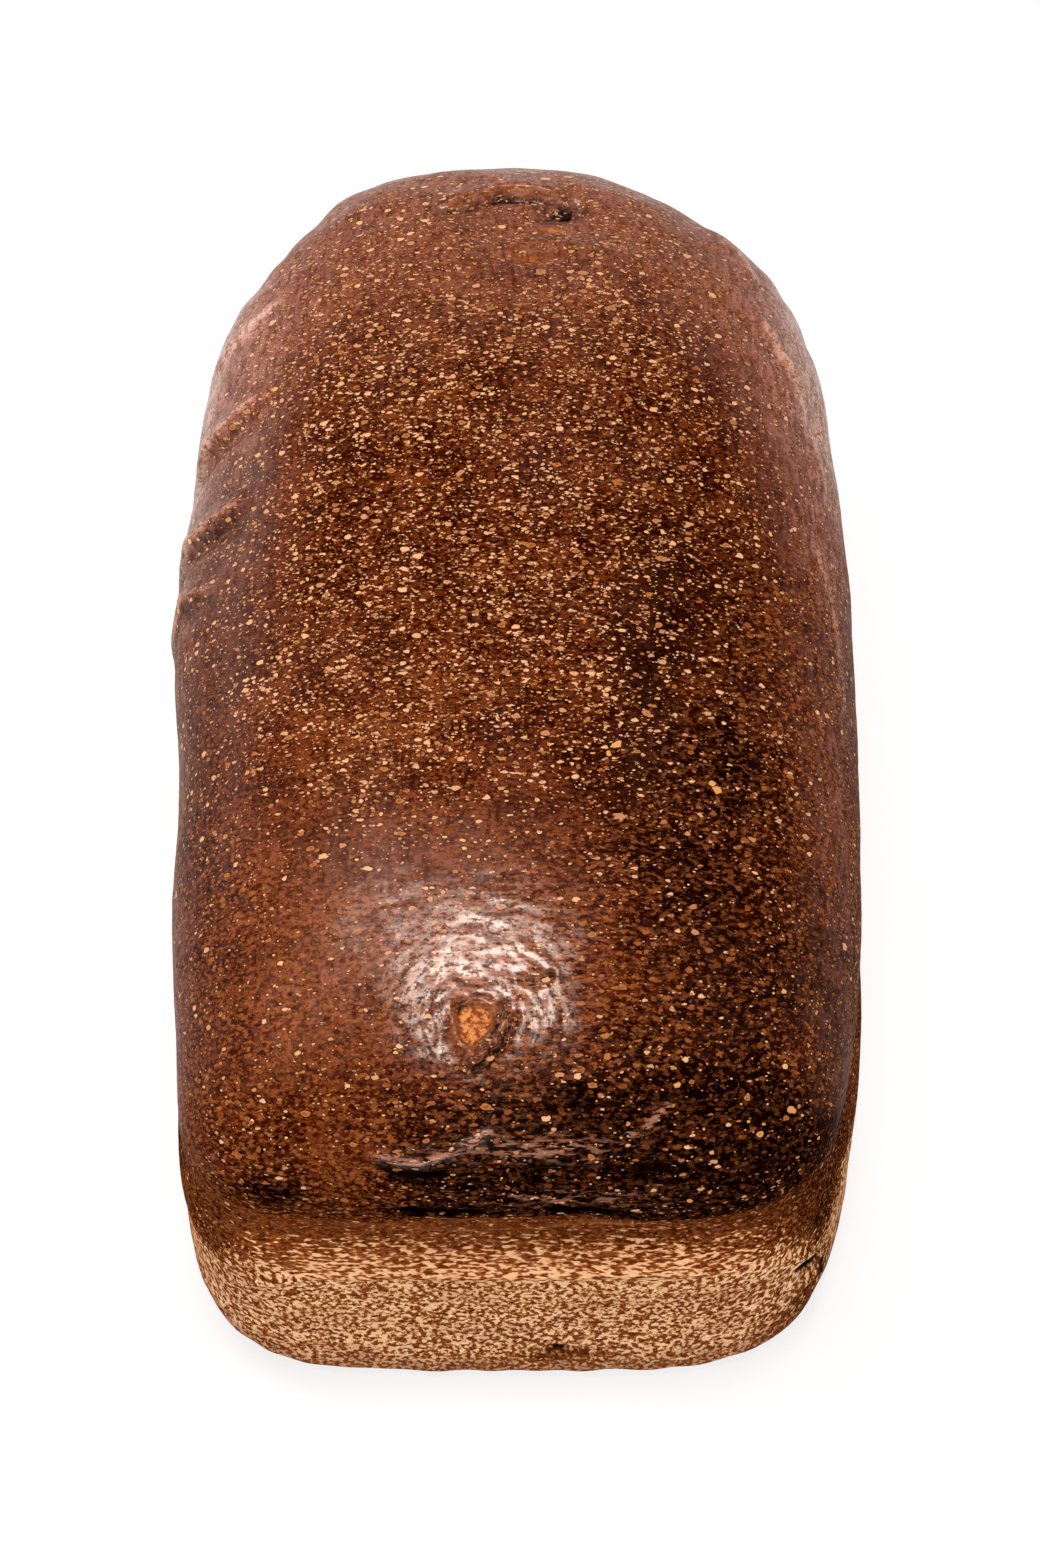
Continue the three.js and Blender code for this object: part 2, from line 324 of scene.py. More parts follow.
# The line where the dough left the tin stands a little proud, with a notch and a bulge at the right corner.
TIN_LINE = (
    (-49.5, -91, 25), (-47, -94.5, 29), (-43.8, -97.3, 30), (-40.2, -99.2, 35), (-32.4, -100.7, 41), (-14, -101.1, 42),
    (20, -101, 42.4), (32, -99.8, 41.7), (41.7, -96.1, 36.5), (45.3, -93.4, 31.5), (49, -89, 28),
)
NOTCH = on_skin(((50.6, -86, 18.5), (48, -90.2, 22.4), (45.6, -93.4, 26), (43.8, -95, 26)))
out += 0.55 * along(TIN_LINE, 1.1, 0.05)
out -= 2.0 * along(NOTCH, 0.9, 0.15)
out += 1.2 * along(((50.6, -87, 13), (48.6, -90.4, 16), (45.6, -94, 19)), 1.9, 0.2)

# A small hole in the near wall, and the ragged lower edge.
out -= patches(((2.2, (7, -102, 11.2), (2.0, 4, 1.3)), (0.8, (11, -102, 10.2), (4.5, 4, 2.0))))
out += 0.35 * ripples((5, 5, 3), 5.9) * smoothstep(z, 0.1, 1.5) * (1 - smoothstep(z, 4, 9))

moved = places + slopes * (out * smoothstep(z, 0.02, 1.5))[:, None]  # the base stays flat
moved[:, 2] = np.maximum(moved[:, 2], 0)
crust.data.vertices.foreach_set("co", (moved * MM).astype(np.float32).ravel())
crust.data.update()

# ---- Loaf: how the crust browns, with painted shade, highlights and sheen ----
# The dome is nearly black, darkest on the right, and shows pale bran and grain; painted shade darkens its folds,
# crevices and pits, and painted highlights and a painted sheen lighten its ridges, flanks and glossiest patch. The
# walls stayed pale against the tin. How much there is of each is stored at every point of the skin.

# Pale skin: the walls up to a wavy line, which drops at the near corners, and a rubbed line on the right flank.
near_end = 1 - smoothstep(y, -90, -78)
side_line = 36 + 2.2 * ripples((14, 14, 6), 3.3)
corner_line = np.where(x > 0, 29, 35) + np.where(x > 0, 13, 9) * smoothstep(50 - np.abs(x), 0, 9)
line_height = side_line + (corner_line - side_line) * near_end + 1.6 * ripples((6, 6, 3), 2.2)
from_corner = near_end * smoothstep(48 - np.abs(x), 0, 14)
pale = smoothstep(line_height - z, -11, 8)
pale_middle = smoothstep(56.5 - z, 0, 2) * (0.32 + 0.66 * smoothstep(54 - z, 0, 13))
pale_middle -= 0.2 * smoothstep(np.abs(x), 22, 46) * smoothstep(z, 38, 44) * smoothstep(58 - z, 0, 4)
pale += (pale_middle - pale) * from_corner
rubbed = smoothstep(x + 0.6 * ripples((6, 6, 6), 4.1), 51.5, 53.5) * smoothstep(-y, 10, 40) * (1 - near_end)
pale = np.maximum(pale, 0.35 * rubbed)
pale -= np.where(x > 0, 0.3, 0.1) * near_end * smoothstep(np.abs(x), 34, 50) * smoothstep(22 - z, 0, 14)
pale -= 0.1 * near_end * smoothstep(x, -24, -8) * smoothstep(36 - z, 0, 8)
pale -= patches((
    (0.6, (49.5, -89, 14), (3, 4, 3)), (0.4, (4.5, -102, 8.5), (3.5, 4, 2)), (0.3, (11, -102, 9), (4, 4, 2)),
))

# The band between the near wall and the dome's foot, where pale dashes thin out upwards.
band = from_corner * smoothstep(56 - z, 0, 4) * smoothstep(z, 39, 43)

# How dark the crust is, from golden at 0 to nearly black at 0.9: it varies unevenly everywhere, is lighter at the far
# end, darker on the right and along the dome's foot at the near end, lighter round the blister as a painted highlight,
# and darker below the folds as painted shade.
browning_and_shade = np.full(len(places), 0.34)
browning_and_shade += 0.46 * smoothstep(x, 4, 26) * (1 - 0.9 * smoothstep(y, -10, 50))
# Painted highlight: lighter round the blister, where the main highlight falls.
browning_and_shade -= 0.20 * near_to((0, -72, 82), (24, 20, 20)) + 0.30 * smoothstep(y, 35, 70) + 0.4 * rubbed
browning_and_shade += 0.15 * near_end * smoothstep(z, 54, 58) * (1 - smoothstep(z, 70, 76))
browning_and_shade += 0.20 * smoothstep(-x, 36, 48) * (1 - smoothstep(y, 20, 60))
browning_and_shade -= 0.22 * smoothstep(x, 32, 46) * (1 - near_end)
browning_and_shade += patches((
    # the near slope, darkest towards its right corner and golden at its left one
    (-0.34, (-34, -70, 76), (15, 26, 24)), (-0.40, (-25, -93, 68), (8, 10, 9)), (-0.30, (-48, -92, 58), (7, 14, 14)),
    (0.55, (35, -94, 63), (16, 9, 9)), (0.40, (20, -94.5, 68), (7, 4, 3)), (0.35, (32, -88, 72), (10, 6, 6)),
    (0.40, (-13.5, -95.4, 67.8), (6, 3, 2)), (0.50, (4, -98, 60.5), (26, 10, 3.5)),
    (0.48, (-36.5, -95.5, 62.5), (5.5, 6, 3)), (0.40, (3, -93, 69), (24, 9, 8)),
    (0.40, (-15, -87, 76), (23, 5, 9)), (0.25, (7, -86, 77), (8, 5, 9)), (0.22, (10, -77, 80), (7, 8, 8)),
    # the top and the flanks
    (-0.25, (26, 16, 82), (12, 18, 20)), (-0.22, (40, 68, 72), (14, 20, 14)), (-0.20, (36, -5, 78), (10, 22, 16)),
    (0.08, (-4, 5, 84), (26, 50, 30)), (-0.24, (-18, -28, 83), (14, 14, 30)), (-0.14, (-5, -42, 84), (9, 9, 12)),
    (0.14, (48, -68, 74), (8, 18, 14)), (0.08, (-49, -50, 72), (10, 20, 16)),
))
browning_and_shade += 0.16 * ripples((22, 26, 16), 6.3) + 0.14 * ripples((6, 5, 5), 9.2)
browning_and_shade -= 0.35 * band
browning_and_shade -= 0.3 * near_end * smoothstep(np.abs(x), 36, 46) * smoothstep(z, 28, 36) * (1 - smoothstep(z, 50, 58))
FOLD_SHADE = (0, -3, -1.5)  # from a fold's ridge to its darkest line
# Painted shade in the hollow below each shoulder fold.
for route, width, _ in SHOULDER_FOLDS:
    browning_and_shade += 0.15 * along(on_skin(np.array(route) + FOLD_SHADE), 0.8 * width)
browning_and_shade = np.clip(browning_and_shade, 0, 0.9)

# Painted shade: crevices, grooves, pits, the line below the crease and the hollow under the tear's lip go past fully
# dark and are painted black. The pits are those of the near slope, the hole in the wall, the hollow of the tear and the
# end of the small split.
browning_and_shade += 1.1 * fold * (0.7 + 0.9 * np.abs(ripples((3, 3, 3), 8.8))) + 0.8 * along(BLISTER_SLIT, 0.8)
browning_and_shade += 0.8 * along(SPLIT, 0.4) + 1.1 * along(NOTCH, 1.3) + 0.35 * along(BELOW_CREASE, 0.9)
browning_and_shade += np.where(x > -4, 1.0, 0.5) * along(on_skin(FAR_SHADOW), 0.8, 0.15)
browning_and_shade += sum(0.7 * along(route, 0.7) for route in RIM_GROOVES)
pits = patches((
    (0.45, (3.7, -95.2, 67.6), (3, 3, 2.4)), (0.4, (5.9, -93.7, 70), (3, 2, 2)), (0.3, (-13.5, -95.4, 67.8), (6, 3, 2)),
    (0.5, (20, -94.5, 68), (6, 4, 2)), (0.45, (37, -92.5, 65), (4, 4, 3)), (0.6, (9.6, -85.4, 76.6), (1.8, 1.1, 2)),
    (3.4, (7, -102, 11.6), (1.8, 4, 1.6)), (1.5, (8.6, 80.5, 78.6), (2.6, 1.9, 2)),
    (0.5, (6.4, 78, 78.6), (3, 1.8, 2)), (0.6, (5.3, -68.3, 82), (0.9, 0.8, 2)),
))
browning_and_shade += pits * (0.6 + 1.2 * np.abs(ripples((1.5, 1.2, 1.2), 4.7)))
browning_and_shade = np.clip(browning_and_shade, 0, 2)

# Bran: thick along the top, thin on the near slope, towards the flanks and on the near right.
bran = 0.10 + 0.90 * smoothstep(y, -62, -8)
bran *= 1 - 0.55 * smoothstep(np.abs(x + 4), 24, 48)
bran *= 1 - 0.45 * smoothstep(x, 10, 30) * smoothstep(-y, -20, 20)
bran *= 1 - 0.25 * smoothstep(y, 50, 75)
bran += 0.28 * ripples((13, 9, 12), 4.4)
bran += patches((
    (0.50, (-18, -27, 83), (13, 14, 30)), (0.4, (-13, 41, 85), (7, 6, 10)),
    (0.25, (15, -31, 84), (7, 7, 12)), (-0.25, (0, 27, 85), (10, 10, 20)),
))
bran = np.clip(bran, 0, 1)

# Warm crumb and golden skin: in the blister, at the tear, and on thin lips of crust.
warm = 0.9 * blister_floor + 0.28 * collar + 0.35 * along(FAR_LIP, 0.5, 0.2) + 0.6 * along(NEAR_LIP, 0.7, 0.1)
warm += patches((
    (0.45, (2.6, 66.6, 83), (4, 2, 4)), (0.7, (6.2, 74.4, 80), (3.0, 0.9, 3)), (0.3, (-36, -100, 39), (6, 3, 1.6)),
    (0.3, (46, -93, 36), (5, 4, 3)), (0.3, (51.5, 45, 67), (2, 3.5, 3)),
))
warm = np.clip(warm, 0, 1)

# Painted highlights: pale lines of light along the creases, the fold ridges, the lips and the tin line, and in the
# glossiest patch round the blister.
highlight_streaks = 0.68 * along(CREASE, 0.6, 0.15) + 0.6 * along(RIGHT_CREASE, 0.9, 0.2) + 0.6 * along(FAR_LIP, 0.45, 0.2)
highlight_streaks += sum(0.75 * along(on_skin(route), 0.35 * width) for route, width, _ in SHOULDER_FOLDS)
highlight_streaks += 0.5 * along(NEAR_LIP, 0.6, 0.2) + 0.3 * along(TIN_LINE, 0.8, 0.05)
highlight_streaks += patches((
    (0.60, (5, -93.2, 71.6), (11, 2.4, 2)), (0.45, (9, -97, 63.0), (12, 3, 2)), (0.40, (-3, -68, 82), (15, 15, 20)),
))
highlight_streaks = np.clip(highlight_streaks * (1 - blister_floor), 0, 1)

# Gloss: on the far shoulders and the flanks, and most round the blister.
gloss = 0.04 + 0.30 * smoothstep(y, 30, 90) + 0.30 * smoothstep(y, 76, 90) + 0.12 * smoothstep(x, 44, 54)
gloss += (0.25 + 0.5 * smoothstep(y, -5, 30)) * smoothstep(-x, 36, 54)
gloss += 0.45 * smoothstep(y, 15, 50) * smoothstep(x, 32, 50)
gloss *= smoothstep(z, 45, 55) * smoothstep(y, -90, -76)
gloss += patches((
    (1.4, (-3, -70, 82), (11, 11, 14)), (0.5, (-6, -54, 84), (9, 10, 12)), (-0.5, (12, -70, 81), (5, 7, 10)),
    (-0.6, (-15, -59, 83), (4.5, 9, 10)), (1.2, (-21, -58, 83), (9, 10, 12)), (0.30, (-27, -40, 84), (9, 12, 10)),
    (0.25, (-14, -78, 79), (7, 7, 6)), (0.10, (5, -93, 72), (11, 2.4, 2)),
))
gloss += 0.9 * along(CREASE, 1.3, 0.15)
gloss *= (1 - blister_floor) * (1 - 0.6 * collar) * (1 - pale) * (1 - 0.9 * along(SPLIT, 0.5))
gloss *= 1 - 0.8 * np.maximum(along(RIM_GROOVES[0], 0.7), along(RIM_GROOVES[1], 0.7))
gloss *= 1 - near_to((3.4, 67.5, 83), (6, 4, 4))
gloss = np.clip(gloss, 0, 1)

# Painted sheen: a pink sheen on the flanks, the far end and steep slopes, along the fold ridges and where the crust is
# glossiest. Above 1 it turns paler.
painted_sheen = 0.12 * smoothstep(-x, 28, 48) + 0.50 * smoothstep(-x, 48, 55) + 0.50 * smoothstep(x, 40, 52)
painted_sheen += 0.50 * smoothstep(y, 30, 85) + 0.15 * smoothstep(y, 74, 90)
painted_sheen += 0.60 * smoothstep(y, 0, 40) * smoothstep(np.abs(x), 32, 52)
painted_sheen += 0.32 * smoothstep(y, 25, 55) * smoothstep(np.abs(x), 24, 42)
steep = smoothstep(-slopes[:, 2], -0.62, -0.25)
painted_sheen += steep * (0.30 + 0.35 * smoothstep(y, 5, 40)) * np.where(x > 0, 0.55, 1.1)
painted_sheen *= smoothstep(z, 50, 62) * (1 - near_end * smoothstep(50 - np.abs(x), 0, 8))
painted_sheen *= 1 - 0.5 * smoothstep(y, 90, 99)
painted_sheen += sum(0.7 * along(on_skin(route), 0.5 * width) for route, width, _ in SHOULDER_FOLDS)
painted_sheen += patches((
    (0.34, (-2, -69, 82), (12, 12, 14)), (0.15, (-6, -53, 84), (11, 10, 14)), (0.28, (-33, -73, 78), (8, 7, 10)),
    (0.2, (52, 15, 68), (7, 16, 14)), (0.40, (-21, -57, 83), (13, 15, 14)),
))
painted_sheen += 0.12 * ripples((14, 20, 14), 1.2) * (1 - near_end)
painted_sheen = np.clip(painted_sheen * (1 - blister_floor) * (1 - rubbed), 0, 1.6)

SHARES = {  # each by the name that the material reads it by
    "gloss": gloss, "painted_sheen": painted_sheen, "pale": pale, "band": band, "browning_and_shade": browning_and_shade, "bran": bran, "warm": warm,
    "wrinkled": wrinkled, "highlight_streaks": highlight_streaks,
}
for name, share in SHARES.items():
    crust.data.attributes.new(name, "FLOAT", "POINT").data.foreach_set("value", share.astype(np.float32))

# ---- Loaf: what the crust looks like ----
# A brown of dark threads between lighter patches, strewn with flakes of bran and cut grain, glossy and under a painted
# pink sheen where it is smooth, with painted highlights on its ridges and painted shade in its crevices, and on the
# walls a net of pale skin with painted glints over brown gaps. It is one baked skin, so it is one material.


def linear(red, green, blue):
    """A colour given as the 0 to 255 numbers of a paint chart, as light."""
    def light(level):
        level /= 255
        return level / 12.92 if level <= 0.04045 else ((level + 0.055) / 1.055) ** 2.4
    return light(red), light(green), light(blue), 1


DARK_CRUST = linear(32, 4, 0)
RUSSET_CRUST = linear(50, 11, 0)
BROWN_CRUST = linear(76, 29, 8)
GOLDEN_CRUST = linear(114, 57, 25)
OCHRE_CRUST = linear(150, 92, 50)
SCORCH_AND_SHADE_BLACK = linear(8, 1, 0)
ORANGE_CRUMB = linear(206, 142, 88)
DEEP_CRUMB = linear(104, 46, 14)
PALE_BRAN = linear(218, 174, 134)
TAN_BRAN = linear(164, 108, 62)
GRAIN = linear(200, 148, 92)
HIGHLIGHT_PINK = linear(196, 142, 116)
SHEEN_ROSE = linear(154, 108, 97)
SHEEN_PALE = linear(196, 166, 156)
WALL_GAP = linear(96, 38, 6)
WALL_TOAST = linear(172, 108, 58)
WALL_SKIN = linear(240, 196, 150)
WALL_GLINT = linear(255, 232, 200)
BASE_SKIN = linear(110, 58, 30)

# How many lumps of each kind there are to a metre.
THREADS = 1500.0
WALL_THREADS = 1450.0
BLOTS = 1250.0
SHREDS = 1600.0
SPECK_WOBBLE = 1500.0
GRAIN_RIMS = 800.0
GRAININESS = 2300.0
WRINKLES = 1150.0
PORES = 1100.0
SHEEN_SPOTS = 1200.0
HEEL_STAINS = 160.0
CLOUDS = 130.0
WALL_DRIFTS = 110.0

# Four sizes of bran flake: how far the cell pattern is shifted, how many mm apart the flakes stand and their radius,
# how uneven they are, how many of them are there on bare crust and how many more in thick bran, as shares, how many
# mm their edges wander, and how well they cover.
FLAKES = (
    ((0.0, 0.0, 0.0), 0.86, 0.36, 0.7, 0.10, 0.68, 0.6, 0.85),
    ((0.4, 0.2, 0.1), 0.55, 0.19, 0.4, 0.16, 0.34, 0.4, 0.85),
    ((0.7, 0.6, 0.2), 1.4, 0.55, 0.65, 0.08, 0.60, 0.7, 0.9),
    ((0.3, 0.1, 0.7), 3.6, 0.75, 0.6, 0.08, 0.16, 1.2, 0.8),
)
GRAINS = (  # middle and half size, mm, of the largest flakes
    ((-28, 55.5, 81), 0.8), ((-38, -11.5, 79.5), 1.3), ((-36, -10.5, 80.5), 0.8), ((15.5, -30, 84.5), 1.2),
    ((14.5, -31.5, 84.5), 0.8), ((10, -27.5, 85), 0.8), ((31.5, -36.5, 81.5), 1.2), ((30.5, -35.5, 81.5), 0.7),
    ((-30.5, -33.5, 82), 0.7), ((42, -85, 69), 1.1), ((24.5, -84, 76), 0.8), ((28, -96, 64), 0.7),
    ((29.5, -96, 63), 0.7), ((26.5, -96.5, 61.5), 0.6), ((37, -89, 69), 0.7), ((37.5, -87.5, 69.5), 0.6),
    ((40, -86.5, 69), 0.6), ((34, -95.5, 50), 0.7),
)
HEEL_STAIN = (9, 20)  # heights, mm, between which the stain of the heel fades out
HEEL_WANDER = 14  # mm that its edge wanders
RING_TURNS = 5.0  # how broken the rings round the blister are
COAT_ROUGHNESS = 0.28
BUMP_HEIGHT = 0.32 * MM
BUMP_STRENGTH = 0.9


class Nodes:
    """Short names for making and joining the nodes of one material, world or node group."""

    def __init__(self, tree):
        self.tree = tree

    def add(self, kind, settings=None, **inputs):
        node = self.tree.nodes.new(kind)
        for name, value in (settings or {}).items():
            setattr(node, name, value)
        for name, value in inputs.items():
            self.put(node.inputs[name.replace("_", " ")], value)
        return node

    def put(self, socket, value):
        if isinstance(value, bpy.types.NodeSocket):
            self.tree.links.new(value, socket)
        else:
            socket.default_value = value

    def fill(self, node, order, values):
        """Puts values into the node's inputs with the numbers in order."""
        for number, value in zip(order, values):
            self.put(node.inputs[number], value)
        return node

    def math(self, operation, *values):
        node = self.add("ShaderNodeMath", {"operation": operation})
        return self.fill(node, range(3), values).outputs[0]

    def times(self, first, *others):
        for other in others:
            first = self.math("MULTIPLY", first, other)
        return first

    def plus(self, first, *others):
        for other in others:
            first = self.math("ADD", first, other)
        return first

    def vector(self, operation, *values):
        node = self.fill(self.add("ShaderNodeVectorMath", {"operation": operation}), range(3), values)
        return node.outputs["Value" if operation == "LENGTH" else "Vector"]

    def stretch(self, place, x, y, z):
        return self.vector("MULTIPLY", place, (x, y, z))

    def ramp(self, value, low, high, to_low=0.0, to_high=1.0):
        """to_low where value is low, to_high where it is high, and a soft curve between."""
        node = self.add("ShaderNodeMapRange", {"interpolation_type": "SMOOTHSTEP"})
        return self.fill(node, range(5), (value, low, high, to_low, to_high)).outputs[0]

    def mix(self, share, first, second):
        """The first colour where share is 0, the second where it is 1."""
        node = self.add("ShaderNodeMix", {"data_type": "RGBA"})
        return self.fill(node, (0, 6, 7), (share, first, second)).outputs[2]

    def blend(self, share, first, second):
        """The first number where share is 0, the second where it is 1."""
        node = self.add("ShaderNodeMix", {"data_type": "FLOAT"})
        return self.fill(node, (0, 2, 3), (share, first, second)).outputs[0]

    def noise(self, place, per_metre, detail=2.0, roughness=0.5):
        node = self.add("ShaderNodeTexNoise", Vector=place, Scale=per_metre, Detail=detail, Roughness=roughness)
        return node.outputs["Fac"]

    def share(self, name):
        return self.add("ShaderNodeAttribute", {"attribute_name": name}).outputs["Fac"]


def specks_group():
    """Flakes of bran: ragged spots of uneven size round the points of a cell pattern, some of them left out. Each
    ends, darkens round its edge and has its middle at shares of its own radius."""
    group = bpy.data.node_groups.new("bran_specks", "ShaderNodeTree")
    group.interface.new_socket("Place", in_out="INPUT", socket_type="NodeSocketVector")
    for name in ("Per metre", "Radius", "Unevenness", "Share", "Raggedness"):
        group.interface.new_socket(name, in_out="INPUT", socket_type="NodeSocketFloat")
    for name in ("Speck", "Shade", "Edge", "Middle"):
        group.interface.new_socket(name, in_out="OUTPUT", socket_type="NodeSocketFloat")
    n = Nodes(group)
    given = n.add("NodeGroupInput").outputs
    wobble = n.add("ShaderNodeTexNoise", Vector=given["Place"], Scale=SPECK_WOBBLE, Detail=1.0)
    shift = n.vector("SCALE", n.vector("SUBTRACT", wobble.outputs["Color"], (0.5, 0.5, 0.5)))
    n.put(shift.node.inputs["Scale"], given["Raggedness"])
    place = n.vector("ADD", given["Place"], shift)
    cells = n.add("ShaderNodeTexVoronoi", Vector=place, Scale=given["Per metre"])
    chance = n.add("ShaderNodeSeparateColor", Color=cells.outputs["Color"]).outputs
    smaller = n.times(chance["Red"], given["Unevenness"])
    radius = n.times(given["Radius"], n.math("SUBTRACT", 1.0, smaller))
    inside = n.math("DIVIDE", cells.outputs["Distance"], radius)
    there = n.math("LESS_THAN", chance["Green"], given["Share"])
    result = n.add("NodeGroupOutput")
    n.put(result.inputs["Speck"], n.times(there, n.ramp(inside, 1.0, 0.75)))
    n.put(result.inputs["Shade"], chance["Blue"])
    n.put(result.inputs["Edge"], n.times(there, n.ramp(inside, 1.45, 0.95)))
    n.put(result.inputs["Middle"], n.times(there, n.ramp(inside, 0.6, 0.3)))
    return group


specks = specks_group()


def crust_material():
    material = bpy.data.materials.new("baked_crust")
    material.use_nodes = True
    material.node_tree.nodes.clear()
    n = Nodes(material.node_tree)

    def speck(place, apart, radius, unevenness, share, raggedness):
        """Specks that stand apart mm apart and have a radius in mm."""
        node = n.add("ShaderNodeGroup", {"node_tree": specks})
        given = (("Place", place), ("Per metre", 1 / (apart * MM)), ("Radius", radius / apart),
                 ("Unevenness", unevenness), ("Share", share), ("Raggedness", raggedness * MM))
        for name, value in given:
            n.put(node.inputs[name], value)
        return node.outputs

    place = n.add("ShaderNodeTexCoord").outputs["Object"]
    gloss, painted_sheen, pale, band, browning_and_shade, bran, warm, wrinkled, highlight_streaks = (n.share(name) for name in SHARES)
    stretched = n.stretch(place, 0.62, 1.0, 1.0)
    blotched = n.ramp(n.plus(bran, n.times(browning_and_shade, -0.5)), 0.35, -0.1)

    # The brown itself: dark threads between lighter patches, darker with browning and painted shade, under a painted
    # sheen.
    mottle = n.noise(stretched, THREADS, 3.0, 0.6)
    clouds = n.noise(place, CLOUDS)
    thread = n.ramp(n.plus(mottle, n.ramp(clouds, 0.3, 0.7, -0.07, 0.05)), 0.42, 0.60)
    light_brown = n.mix(n.ramp(browning_and_shade, 0.0, 0.7), GOLDEN_CRUST, BROWN_CRUST)
    deep_brown = n.mix(n.ramp(browning_and_shade, 0.0, 0.6), RUSSET_CRUST, DARK_CRUST)
    brown = n.mix(thread, deep_brown, light_brown)
    lines_up = n.noise(n.stretch(place, 1.0, 0.5, 0.8), THREADS, 3.0, 0.6)
    golden = n.times(n.ramp(lines_up, 0.46, 0.60), n.ramp(browning_and_shade, 0.30, 0.0, 0.0, 0.5))
    brown = n.mix(golden, brown, OCHRE_CRUST)
    scorch_and_shade_share = n.ramp(browning_and_shade, 0.4, 1.0, 0.0, 0.95)
    brown = n.mix(scorch_and_shade_share, brown, SCORCH_AND_SHADE_BLACK)
    # Painted sheen: a pink sheen laid over the brown, paler where it is strongest and broken up by fine noise.
    sheen_breakup = n.noise(n.stretch(place, 0.8, 0.2, 0.8), SHEEN_SPOTS)
    sheen_colour = n.mix(n.ramp(painted_sheen, 0.95, 1.8), SHEEN_ROSE, SHEEN_PALE)
    brown = n.mix(n.times(painted_sheen, n.ramp(sheen_breakup, 0.35, 0.65, 0.3, 1.0)), brown, sheen_colour)
    brown = n.mix(scorch_and_shade_share, brown, SCORCH_AND_SHADE_BLACK)

    # Ochre flecks with dark outlines: small and faint on the dome, larger and stronger on the near slope.
    colour = brown
    fleck_share = n.ramp(browning_and_shade, 0.3, 1.0, 0.9, 0.45)
    for apart, radius, shift, strength in (
        (0.62, 0.34, 0.0, n.ramp(blotched, 0.0, 1.0, 0.45, 0.3)), (1.0, 0.52, 0.5, blotched),
    ):
        flecks = speck(n.vector("ADD", stretched, (shift, shift, shift)), apart, radius, 0.6, fleck_share, 0.8)
        ochre = n.mix(flecks["Shade"], BROWN_CRUST, OCHRE_CRUST)
        ochre = n.mix(n.ramp(browning_and_shade, 0.5, 1.0, 0.0, 0.6), ochre, DARK_CRUST)
        colour = n.mix(n.times(flecks["Edge"], 0.9, strength), colour, SCORCH_AND_SHADE_BLACK)
        colour = n.mix(n.times(flecks["Speck"], strength), colour, ochre)
    blots = n.ramp(n.noise(stretched, BLOTS, 2.0, 0.6), 0.50, 0.56)
    blots = n.times(blots, blotched, n.ramp(browning_and_shade, 0.5, 1.0, 0.5, 0.15))
    colour = n.mix(blots, colour, n.mix(n.ramp(mottle, 0.4, 0.6), BROWN_CRUST, OCHRE_CRUST))

    # Pale bran: ragged level shreds in clusters, round flakes of four sizes, and a few large ones in their own places.
    crowded = n.plus(n.times(bran, 0.13), n.times(clouds, 0.16))
    shreds = n.plus(n.noise(n.stretch(place, 0.55, 1.0, 1.0), SHREDS, 2.0, 0.55), crowded)
    colour = n.mix(n.times(n.ramp(shreds, 0.75, 0.82), 0.5), colour, DARK_CRUST)
    tan = n.mix(n.ramp(flecks["Shade"], 0.2, 0.8), PALE_BRAN, TAN_BRAN)
    colour = n.mix(n.times(n.ramp(shreds, 0.82, 0.85), 0.85), colour, tan)
    flakes = []  # one mask for each size
    for shift, apart, radius, unevenness, least, more, raggedness, strength in FLAKES:
        share = n.plus(least, n.times(bran, more))
        flake = speck(n.vector("ADD", stretched, shift), apart, radius, unevenness, share, raggedness)
        tan = n.mix(n.ramp(flake["Shade"], 0.1, 0.9), PALE_BRAN, TAN_BRAN)
        tan = n.mix(n.times(flake["Middle"], n.ramp(flake["Shade"], 0.3, 0.9, 0.0, 0.5)), tan, BROWN_CRUST)
        colour = n.mix(n.times(flake["Edge"], 0.65), colour, DARK_CRUST)
        colour = n.mix(n.times(flake["Speck"], strength), colour, tan)
        flakes.append(flake["Speck"])

    # The largest flakes are whole grains, cut by the mill.
    rim = n.times(n.noise(place, GRAIN_RIMS), 1.7)
    for middle, size in GRAINS:
        from_middle = n.stretch(n.vector("SUBTRACT", place, tuple(v * MM for v in middle)), 0.75, 1.0, 1.0)
        inside = n.plus(n.math("DIVIDE", n.vector("LENGTH", from_middle), size * MM), rim)
        colour = n.mix(n.ramp(inside, 1.8, 1.5, 0.0, 0.8), colour, DARK_CRUST)
        colour = n.mix(n.ramp(inside, 1.5, 1.3, 0.0, 0.95), colour, n.mix(n.ramp(inside, 1.0, 0.6), GRAIN, TAN_BRAN))

    # Painted highlights: thin level lines of pink light on the creases, fold ridges and lips of the crust.
    hairs = n.noise(n.stretch(place, 0.25, 1.0, 1.0), THREADS, 2.0, 0.6)
    hairs = n.ramp(n.plus(hairs, n.times(highlight_streaks, 0.12)), 0.54, 0.66)
    colour = n.mix(n.times(hairs, highlight_streaks, 0.9), colour, HIGHLIGHT_PINK)

    # Bare crumb in the blister and the tear.
    pores = n.ramp(n.noise(place, PORES, 3.0, 0.65), 0.38, 0.60, 0.1, 1.0)
    crumb = n.mix(n.times(pores, n.ramp(warm, 0.4, 0.95, 0.3, 1.0)), DEEP_CRUMB, ORANGE_CRUMB)
    colour = n.mix(n.times(n.ramp(warm, 0.05, 0.6), n.ramp(browning_and_shade, 1.1, 0.7)), colour, crumb)

